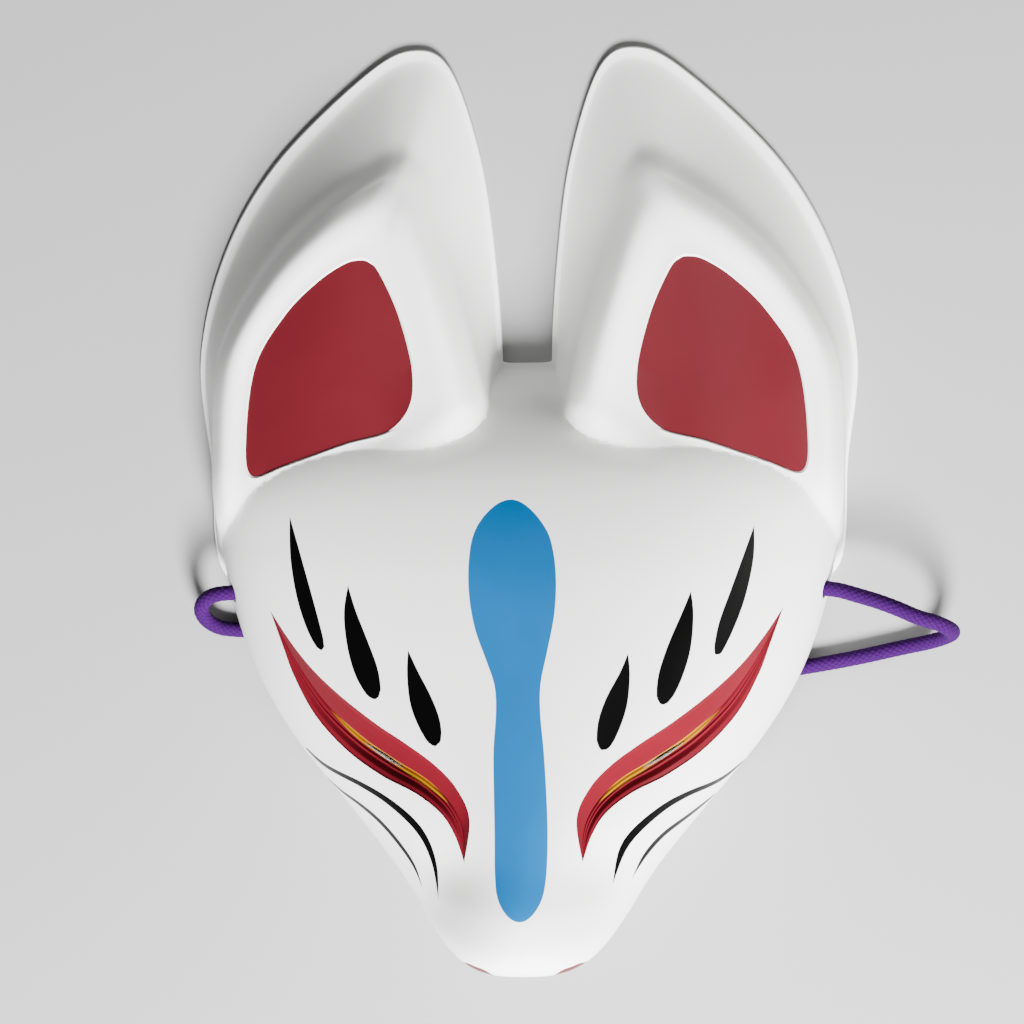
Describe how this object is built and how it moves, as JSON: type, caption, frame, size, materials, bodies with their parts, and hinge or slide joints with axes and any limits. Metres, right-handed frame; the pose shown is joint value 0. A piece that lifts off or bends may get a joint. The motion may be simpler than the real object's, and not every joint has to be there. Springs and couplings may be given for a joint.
{
  "type": "kitsune mask",
  "caption": "White moulded fox mask with tall ears, red ear panels and slanted eyes, a blue brow stripe, black brush marks and a purple elastic cord",
  "frame": {"origin": "centre of the footprint on the surface that the rim lies on", "axes": "+X to the mask's left cheek (the viewer's right), +Y to the ears, +Z out of the face"},
  "size_m": [0.2099, 0.2438, 0.0801],
  "materials": {
    "white_plastic": "semi-gloss",
    "purple_elastic": "matte"
  },
  "bodies": {
    "root": {"mask_shell": "white_plastic", "elastic_cord": "purple_elastic", "cord_knot_left": "purple_elastic", "cord_knot_right": "purple_elastic"}
  },
  "joints": []
}
